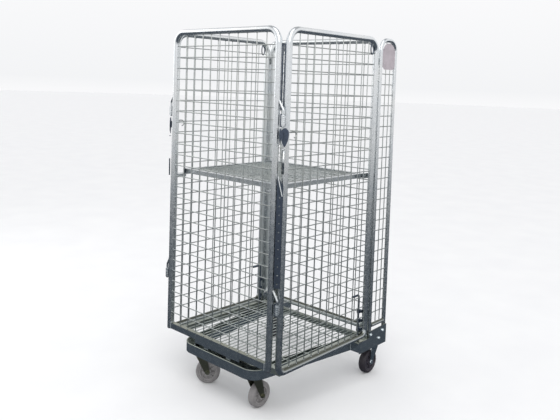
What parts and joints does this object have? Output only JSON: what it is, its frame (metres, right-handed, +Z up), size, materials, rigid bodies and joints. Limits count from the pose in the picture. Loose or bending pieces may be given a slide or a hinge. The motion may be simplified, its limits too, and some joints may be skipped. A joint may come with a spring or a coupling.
{
  "type": "roll cage container",
  "caption": "Wire mesh roll cage on a tapered steel chassis with four castors, two hinged side gates, a fold-up load deck and a fold-up middle shelf.",
  "frame": {"origin": "centre of the footprint box, on the floor under the wheels", "axes": "+Z up, -Y towards the fixed front panel and the chassis nose, +X towards the right gate"},
  "size_m": [0.7724, 0.825, 1.68],
  "materials": {
    "galvanised_tube": "hot-dip galvanised round tube, satin with a faint spangle",
    "galvanised_wire": "galvanised round wire, satin",
    "galvanised_sheet": "galvanised folded sheet, satin, slightly olive",
    "castor_steel": "zinc plated pressed steel with a dark olive passivate",
    "rear_castor_steel": "zinc plated pressed steel, blue-grey",
    "fastener": "bright zinc plated hexagon bolts and nuts",
    "dark_steel": "dark dull zinc",
    "label": "flat matt mauve-grey plate, blank",
    "front_tyre": "warm grey rubber, satin",
    "front_hub": "moulded warm grey plastic",
    "rear_tyre": "dark brown-purple rubber",
    "rear_hub": "moulded dark grey plastic"
  },
  "bodies": {
    "chassis": {"back_panel_frame": "galvanised_tube", "back_panel_mesh": "galvanised_wire", "bolt_keepers": "galvanised_sheet", "castor_bolts": "fastener", "castor_heads": "castor_steel", "chassis_crossbar": "galvanised_sheet", "chassis_leg_left": "galvanised_sheet", "chassis_leg_right": "galvanised_sheet", "chassis_nose": "galvanised_sheet", "clamp_bolts": "fastener", "deck_hinge_bar": "galvanised_sheet", "front_panel_bracket": "galvanised_sheet", "front_panel_frame": "galvanised_tube", "front_panel_mesh": "galvanised_wire", "front_panel_rail": "galvanised_sheet", "gate_hinge_pins": "galvanised_tube", "label_plate": "label", "panel_clamps": "galvanised_sheet", "rear_pan_left": "galvanised_sheet", "rear_pan_right": "galvanised_sheet", "shelf_hinge_ears": "galvanised_sheet", "shelf_rests": "galvanised_sheet", "wing_frame_left": "galvanised_tube", "wing_frame_right": "galvanised_tube", "wing_mesh_left": "galvanised_wire", "wing_mesh_right": "galvanised_wire"},
    "castor_front_left": {"axle_front_left": "fastener", "castor_fork_front_left": "castor_steel"},
    "castor_front_right": {"axle_front_right": "fastener", "castor_fork_front_right": "castor_steel"},
    "castor_rear_left": {"axle_rear_left": "fastener", "castor_fork_rear_left": "rear_castor_steel"},
    "castor_rear_right": {"axle_rear_right": "fastener", "castor_fork_rear_right": "rear_castor_steel"},
    "deck": {"deck_frame": "galvanised_sheet", "deck_hinge_sleeves": "galvanised_tube", "deck_mesh": "galvanised_wire"},
    "gate_left": {"gate_bolt_guides_left": "dark_steel", "gate_frame_left": "galvanised_tube", "gate_hinge_leaf_left": "dark_steel", "gate_hinge_sleeves_left": "galvanised_tube", "gate_mesh_left": "galvanised_wire"},
    "gate_right": {"gate_bolt_guides_right": "dark_steel", "gate_frame_right": "galvanised_tube", "gate_hinge_leaf_right": "dark_steel", "gate_hinge_sleeves_right": "galvanised_tube", "gate_mesh_right": "galvanised_wire"},
    "gate_bolt_body_left": {"gate_bolt_left": "dark_steel"},
    "gate_bolt_body_right": {"gate_bolt_right": "dark_steel"},
    "shelf": {"shelf_frame": "galvanised_sheet", "shelf_mesh": "galvanised_wire", "shelf_pins": "galvanised_tube"},
    "wheel_front_left": {"wheel_hub_front_left": "front_hub", "wheel_tyre_front_left": "front_tyre"},
    "wheel_front_right": {"wheel_hub_front_right": "front_hub", "wheel_tyre_front_right": "front_tyre"},
    "wheel_rear_left": {"wheel_hub_rear_left": "rear_hub", "wheel_tyre_rear_left": "rear_tyre"},
    "wheel_rear_right": {"wheel_hub_rear_right": "rear_hub", "wheel_tyre_rear_right": "rear_tyre"}
  },
  "joints": [
    {"name": "gate_right_swing", "type": "hinge", "parent": "chassis", "child": "gate_right", "pos_m": [0.366, -0.396, 0.497], "axis": [0, 0, -1], "range_deg": [0, 180]},
    {"name": "gate_bolt_right_drop", "type": "slide", "parent": "gate_right", "child": "gate_bolt_body_right", "axis": [0, 0, -1], "range_m": [0, 0.035]},
    {"name": "gate_left_swing", "type": "hinge", "parent": "chassis", "child": "gate_left", "pos_m": [-0.366, -0.396, 0.497], "axis": [0, 0, 1], "range_deg": [0, 180]},
    {"name": "gate_bolt_left_drop", "type": "slide", "parent": "gate_left", "child": "gate_bolt_body_left", "axis": [0, 0, -1], "range_m": [0, 0.035]},
    {"name": "deck_fold", "type": "hinge", "parent": "chassis", "child": "deck", "pos_m": [0, -0.353, 0.219], "axis": [1, 0, 0], "range_deg": [0, 88]},
    {"name": "shelf_fold", "type": "hinge", "parent": "chassis", "child": "shelf", "pos_m": [0, 0.25, 1.01], "axis": [-1, 0, 0], "range_deg": [0, 88]},
    {"name": "castor_front_right_swivel", "type": "hinge", "parent": "chassis", "child": "castor_front_right", "pos_m": [0.18, -0.328, 0.149], "axis": [0, 0, 1], "continuous": true},
    {"name": "wheel_front_right_spin", "type": "hinge", "parent": "castor_front_right", "child": "wheel_front_right", "pos_m": [0.18, -0.292, 0.0575], "axis": [-1, 0, 0], "continuous": true},
    {"name": "castor_rear_right_swivel", "type": "hinge", "parent": "chassis", "child": "castor_rear_right", "pos_m": [0.318, 0.382, 0.149], "axis": [0, 0, 1], "continuous": true},
    {"name": "wheel_rear_right_spin", "type": "hinge", "parent": "castor_rear_right", "child": "wheel_rear_right", "pos_m": [0.318, 0.346, 0.0575], "axis": [1, 0, 0], "continuous": true},
    {"name": "castor_front_left_swivel", "type": "hinge", "parent": "chassis", "child": "castor_front_left", "pos_m": [-0.18, -0.328, 0.149], "axis": [0, 0, 1], "continuous": true},
    {"name": "wheel_front_left_spin", "type": "hinge", "parent": "castor_front_left", "child": "wheel_front_left", "pos_m": [-0.15325, -0.30391, 0.0575], "axis": [-0.6691, 0.7431, 0], "continuous": true},
    {"name": "castor_rear_left_swivel", "type": "hinge", "parent": "chassis", "child": "castor_rear_left", "pos_m": [-0.318, 0.382, 0.149], "axis": [0, 0, 1], "continuous": true},
    {"name": "wheel_rear_left_spin", "type": "hinge", "parent": "castor_rear_left", "child": "wheel_rear_left", "pos_m": [-0.318, 0.346, 0.0575], "axis": [1, 0, 0], "continuous": true}
  ]
}
